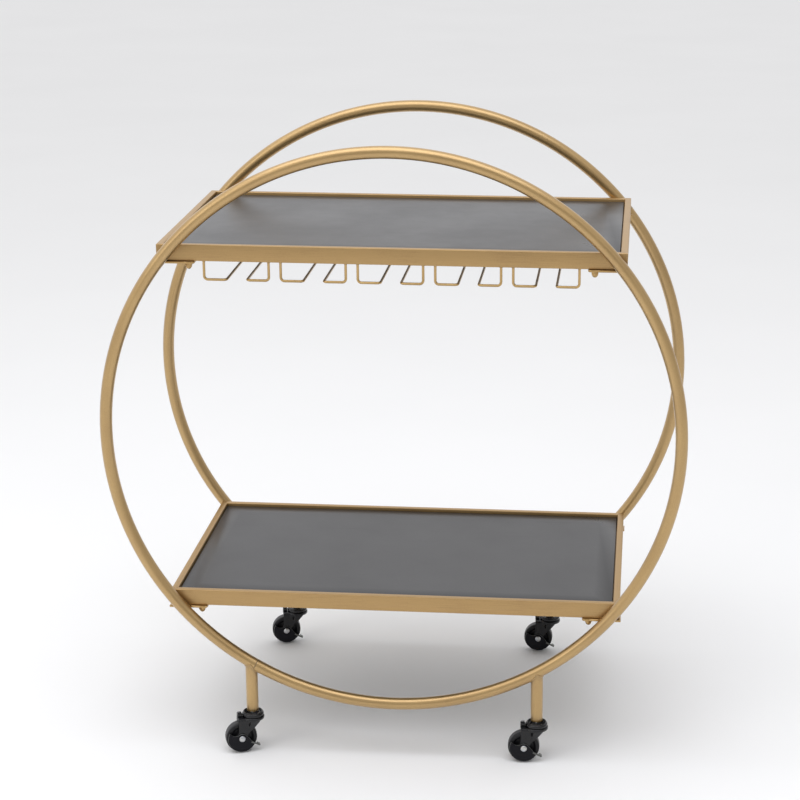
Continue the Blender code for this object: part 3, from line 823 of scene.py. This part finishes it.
def slab(bm, outline, layers, lift):
    """An extruded plate: layers of (height, inset) round an outline, placed by lift."""
    core = sum((Vector(point) for point in outline), Vector((0, 0))) / len(outline)
    loops = []
    for height, inset in layers:
        loop = []
        for point in outline:
            away = Vector(point) - core
            kept = core + away * (1 - inset / away.length)
            loop.append(lift(kept.x, kept.y, height))
        loops.append(loop)
    skin(bm, loops)


# The saddle joins the legs' backs to the crown, with a tongue that carries the lug.
saddle = [(-0.0100, -fork_outer), (-0.0100, fork_outer), (-fork_back + 0.0012, fork_outer)]
saddle += [(-fork_back, fork_outer - 0.0012), (-lug_back, 0.0046), (-lug_back, -0.0046)]
saddle += [(-fork_back, -fork_outer + 0.0012), (-fork_back + 0.0012, -fork_outer)]
saddle_layers = ((crown_bottom, 0.0006), (crown_bottom + 0.0005, 0.0), (crown_top - 0.0014, 0.0))
saddle_layers += ((crown_top - 0.0004, 0.0004), (crown_top - 0.0001, 0.0013))
lug_round, lug_shoulder = 0.0018, 0.0637
lug_outline = [
    (-lug_back, crown_bottom + 0.0006), (-lug_front, crown_bottom + 0.0006), (-lug_front, 0.0636)
]
for middle_x, swing in (
    (-lug_front - lug_round, (15, 40, 65, 90)), (-lug_back + lug_round, (90, 120, 150, 180))
):
    for a in map(math.radians, swing):
        lug_outline.append((middle_x + lug_round * math.cos(a), lug_shoulder + lug_round * math.sin(a)))
lug_layers = ((-0.0044, 0.0005), (-0.0040, 0.0), (0.0040, 0.0), (0.0044, 0.0005))
# The pan is a shallow dish: over its top, round its edge, and back under it a sheet's thickness lower.
pan_top, pan_under = crown_top, crown_top - sheet_thick
pan_edge = (
    (0.0016, pan_top), (0.0006, pan_top - 0.0004), (0.0001, pan_top - 0.0012), (0, pan_top - 0.0024)
)
pan_edge += ((0.0001, crown_bottom + 0.0010), (0.0004, crown_bottom + 0.0003), (0.0009, crown_bottom))
pan_edge += ((0.0015, crown_bottom + 0.0003), (0.0018, crown_bottom + 0.0010), (0.0022, pan_under))
pan = [(stem_hole, pan_top)]
pan += [(crown_radius - inwards, height) for inwards, height in pan_edge]
pan.append((stem_hole, pan_under))
for caster in casters:
    world = swivel_frame(caster)
    bm = bmesh.new()
    turned(bm, pan, 72, world.translation.copy(), open_bore=True)
    fork_leg(bm, world, -1)
    fork_leg(bm, world, 1)
    slab(bm, saddle, saddle_layers, lambda x, y, height: world @ Vector((x, y, height)))
    slab(bm, lug_outline, lug_layers, lambda x, z, across: world @ Vector((x, across, z)))
    finished(
        f"{caster}_pressed_fork",
        bm,
        black_lacquer,
        f"{caster}_swivel",
        [f"{caster}_fork"],
        sharp=48,
    )

# ---------------------------------------------------------------------------
# Axle rivets: plain steel, bright zinc-plated, with a factory-made dome on the
# lever's side and a spun-over tail on the other; the wheel turns on the shank.
# ---------------------------------------------------------------------------

lever_outer = 0.0132
rivet_head, rivet_dome = 0.0050, 0.0021
rivet_shank = 0.0025
for caster in casters:
    world = swivel_frame(caster)
    centre = world @ Vector((-trail, 0, axle_z))
    outwards = (world.to_3x3() @ Vector((0, -1, 0))).normalized()
    near, far = lever_outer + 0.0003, -fork_outer - 0.0003
    profile = []
    for a in map(math.radians, (6, 20, 36, 52, 68, 82, 90)):
        profile.append((rivet_head * math.sin(a), near + 0.0004 + rivet_dome * math.cos(a)))
    profile += [
        (rivet_head, near), (rivet_shank, near), (rivet_shank, far), (0.0041, far), (0.0043, far - 0.0004)
    ]
    profile += [(0.0040, far - 0.0011), (0.0030, far - 0.0016), (0.0012, far - 0.0018)]
    bm = bmesh.new()
    turned(bm, profile, 40, centre, axis=outwards)
    finished(
        f"{caster}_domed_rivet", bm, bright_zinc, f"{caster}_swivel",
        [f"{caster}_axle_rivet"],
    )

# ---------------------------------------------------------------------------
# Wheels: 50 mm, injection-moulded in black nylon in one piece, with a hard
# crowned tread, a dished web, a hub boss and a fine parting line round it.
# ---------------------------------------------------------------------------

black_nylon, tree, shader = new_material("black moulded nylon")
# Nylon off a spark-eroded mould is satin with a fine grain; the tread is painted paler in patches, partly as
# scuffing by the floor and partly as a painted highlight.
spot = node(tree, "ShaderNodeTexCoord")
grain = node(tree, "ShaderNodeTexNoise", {"Vector": spot.outputs["Object"], "Scale": 1600, "Detail": 2})
scuff = node(
    tree,
    "ShaderNodeTexNoise",
    {"Vector": spot.outputs["Object"], "Scale": 240, "Detail": 4, "Roughness": 0.7},
)
tread = node(tree, "ShaderNodeAttribute", attribute_name="weld")
scuff_and_highlight = node(
    tree, "ShaderNodeMath", {0: scuff.outputs["Fac"], 1: tread.outputs["Fac"]}, operation="MULTIPLY"
)
colour = node(tree, "ShaderNodeValToRGB", {"Fac": scuff_and_highlight.outputs[0]})
colour.color_ramp.elements[0].color = linear("#0D0D10")
colour.color_ramp.elements[1].color = linear("#3C3C3E")
tree.links.new(colour.outputs["Color"], shader.inputs["Base Color"])
dull = node(tree, "ShaderNodeMapRange", {"Value": scuff.outputs["Fac"], "To Min": 0.30, "To Max": 0.48})
tree.links.new(dull.outputs[0], shader.inputs["Roughness"])
skin_bump = node(
    tree, "ShaderNodeBump", {"Height": grain.outputs["Fac"], "Strength": 0.12, "Distance": 0.0002}
)
tree.links.new(skin_bump.outputs["Normal"], shader.inputs["Normal"])
shader.inputs["Specular IOR Level"].default_value = 0.32

# Half the wheel's section as (radius, side): hub boss, dished web, rim, crowned tread and parting line.
tread_start, tread_fade = 0.0236, 0.0012
half_profile = [(0.0029, 0.0090), (0.0060, 0.0090), (0.0065, 0.0087), (0.0067, 0.0080), (0.0072, 0.0058)]
half_profile += [(0.0080, 0.0052), (0.0110, 0.0050), (0.0150, 0.0051), (0.0172, 0.0056), (0.0182, 0.0066)]
half_profile += [(0.0187, 0.0079), (0.0193, 0.0084), (0.0200, 0.0085), (0.0220, 0.0085), (0.0230, 0.0083)]
half_profile += [(0.0238, 0.0078), (0.0244, 0.0069), (0.02475, 0.0056), (0.02492, 0.0034)]
half_profile += [(0.02500, 0.0009), (0.02488, 0.0002)]
for caster in casters:
    world = swivel_frame(caster)
    centre = world @ Vector((-trail, 0, axle_z))
    spin = (world.to_3x3() @ Vector((0, 1, 0))).normalized()
    profile = half_profile + [(radius, -side) for radius, side in reversed(half_profile)]
    bm = bmesh.new()
    rows = turned(bm, profile, 72, centre, axis=spin, open_bore=True)
    # The tread band gets the paler paint: floor scuffing and a painted highlight together.
    marks_and_highlights = bm.verts.layers.float["weld"]
    for row, (radius, side) in zip(rows, profile):
        for vert in row:
            vert[marks_and_highlights] = min(1.0, max(0.0, (radius - tread_start) / tread_fade))
    finished(
        f"{caster}_nylon_wheel",
        bm,
        black_nylon,
        f"{caster}_wheel",
        [f"{caster}_wheel"],
        sharp=50,
    )

# ---------------------------------------------------------------------------
# Brake levers: 1.5 mm steel stampings on the axle rivet, a half disc pressed
# out over the hub and a foot bent across the tread, in dark satin plate.
# ---------------------------------------------------------------------------

dark_plate, tree, shader = new_material("dark satin zinc-nickel plate on stamped steel")
# The plate is a dull grey-black metal; its edge all round is painted paler grey as a painted highlight, and
# the foot is painted paler grey, both in patches.
spot = node(tree, "ShaderNodeTexCoord")
patch = node(tree, "ShaderNodeTexNoise", {"Vector": spot.outputs["Object"], "Scale": 420, "Detail": 3})
grit = node(tree, "ShaderNodeTexNoise", {"Vector": spot.outputs["Object"], "Scale": 1500, "Detail": 2})
highlight_and_pale_foot = node(tree, "ShaderNodeAttribute", attribute_name="weld")
paler_grey_amount = node(
    tree,
    "ShaderNodeMath",
    {0: patch.outputs["Fac"], 1: 0.25, 2: highlight_and_pale_foot.outputs["Fac"]},
    operation="MULTIPLY_ADD",
)
colour = node(tree, "ShaderNodeValToRGB", {"Fac": paler_grey_amount.outputs[0]})
colour.color_ramp.elements[0].position = 0.2
colour.color_ramp.elements[0].color = linear("#1A1A1E")
colour.color_ramp.elements[1].position = 1.1
colour.color_ramp.elements[1].color = linear("#8E908B")
tree.links.new(colour.outputs["Color"], shader.inputs["Base Color"])
dull = node(tree, "ShaderNodeMapRange", {"Value": grit.outputs["Fac"], "To Min": 0.28, "To Max": 0.44})
tree.links.new(dull.outputs[0], shader.inputs["Roughness"])
tooth = node(tree, "ShaderNodeBump", {"Height": grit.outputs["Fac"], "Strength": 0.15, "Distance": 0.0002})
tree.links.new(tooth.outputs["Normal"], shader.inputs["Normal"])
shader.inputs["Metallic"].default_value = 0.75

lever_inner = 0.0117
lever_radius, eye_radius = 0.0225, 0.0082
step_radius, step_width, step_height = 0.0178, 0.0014, 0.0006
pedal_angle = math.radians(-26)
# The stamping's outline about the axle: round the wheel's lower half, then back over the rivet to the foot.
outline = [
    (lever_radius * math.cos(a), lever_radius * math.sin(a))
    for a in map(math.radians, range(-28, -211, -3))
]
outline += [(-0.0178, 0.0091), (-0.0160, 0.0074), (-0.0137, 0.0063), (-0.0115, 0.0058), (-0.0097, 0.0057)]
outline += [(-0.0080, 0.0058), (-0.0067, 0.0059)]
outline += [
    (eye_radius * math.cos(a), eye_radius * math.sin(a)) for a in map(math.radians, range(132, 34, -8))
]
outline += [(0.0087, 0.0028), (0.0105, 0.0010), (0.0122, -0.0012), (0.0137, -0.0034), (0.0152, -0.0056)]
outline += [(0.0168, -0.0074), (0.0184, -0.0091)]
core = Vector((0.0, -0.012))
# The foot is (distance out from the axle, across the wheel), round at its two free corners.
foot_root, foot_neck, foot_tip, foot_far = 0.0160, 0.0268, 0.0320, -0.0055
foot = [(foot_root, -lever_outer), (0.0302, -lever_outer), (0.0312, -lever_outer + 0.0003)]
foot += [(0.0319, -lever_outer + 0.0010), (foot_tip, -lever_outer + 0.0018), (foot_tip, -0.0073)]
foot += [(0.0318, -0.0063), (0.0311, -0.0057), (0.0301, foot_far), (foot_neck, foot_far)]
foot += [(foot_neck, -lever_inner + 0.0003), (foot_root, -lever_inner + 0.0003)]
foot_layers = ((-0.0012, 0.0004), (-0.0009, 0.0), (0.0007, 0.0), (0.0010, 0.0004))
shares = [0.02, 0.12, 0.25, 0.36] + [0.42 + 0.04 * i for i in range(14)] + [0.965, 0.99, 1.0]
# Amounts of the paler grey: a painted highlight along the edge, and the foot painted paler.
edge_highlight, pale_foot = 0.45, 0.5
for caster in casters:
    world = swivel_frame(caster)
    bm = bmesh.new()
    loops, weld = [], []
    for face, order in (("outer", shares), ("inner", list(reversed(shares)))):
        for share in order:
            loop = []
            for point in outline:
                x, z = core + (Vector(point) - core) * share
                # The middle is pressed outwards in a step round the hub.
                reach = math.hypot(x, z)
                press = step_height * min(1.0, max(0.0, (step_radius - reach) / step_width))
                ease = {1.0: 0.0004, 0.99: 0.0001}.get(share, 0.0)
                y = -lever_outer + step_height - press + ease
                if face == "inner":
                    y = -lever_inner - 0.6 * press
                loop.append(world @ Vector((-trail + x, y, axle_z + z)))
            loops.append(loop)
            # The loops at the stamping's edge carry the painted highlight.
            weld.append(edge_highlight if share >= 0.99 else 0.0)
    skin(bm, loops, weld=weld)
    # The foot is bent square across the wheel, thickened at the bend and curled down a little at its tip.
    foot_frame = world @ Matrix.Translation((-trail, 0, axle_z)) @ Matrix.Rotation(-pedal_angle, 4, "Y")

    def curled(x, y, height):
        return foot_frame @ Vector((x, y, height - 0.0004 * max(0.0, (x - 0.0275) / 0.0045) ** 2))

    plate_verts = len(bm.verts)
    slab(bm, foot, foot_layers, curled)
    # The foot is painted paler grey.
    marks_and_highlights = bm.verts.layers.float["weld"]
    bm.verts.ensure_lookup_table()
    for vert in bm.verts[plate_verts:]:
        vert[marks_and_highlights] = pale_foot
    finished(
        f"{caster}_stamped_lever",
        bm,
        dark_plate,
        f"{caster}_brake",
        [f"{caster}_brake_lever"],
        sharp=45,
    )
